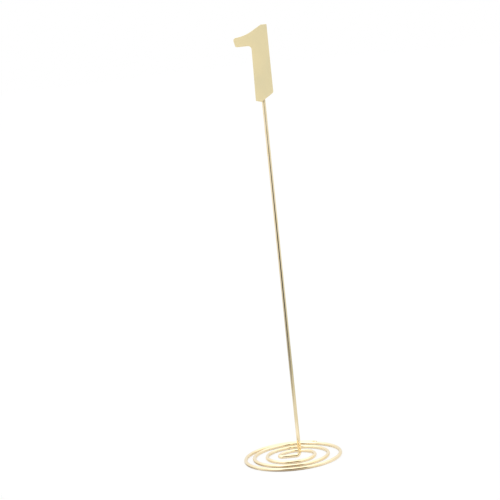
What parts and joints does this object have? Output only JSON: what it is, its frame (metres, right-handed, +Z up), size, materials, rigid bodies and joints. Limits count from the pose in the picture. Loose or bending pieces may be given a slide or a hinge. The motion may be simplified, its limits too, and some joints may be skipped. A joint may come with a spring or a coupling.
{
  "type": "table number holder",
  "caption": "Free-standing table number holder: a straight wire stem bent into a flat spiral foot, with a flat cut-out figure 1 brazed to its top.",
  "frame": {"origin": "on the table, at the centre of the spiral foot's outer turn", "axes": "+Z up along the stem, the figure faces -Y, +X to the right as the figure is read"},
  "size_m": [0.084, 0.0852, 0.3665],
  "materials": {
    "gold_wire": "bright gold electroplate on round steel wire",
    "gold_plate": "satin pale gold on steel sheet",
    "braze": "filler metal, gold plated with the stand"
  },
  "bodies": {
    "root": {"wire_stand": "gold_wire", "number_plate": "gold_plate", "plate_braze_left": "braze", "plate_braze_right": "braze", "coil_end_weld": "braze"}
  },
  "joints": []
}
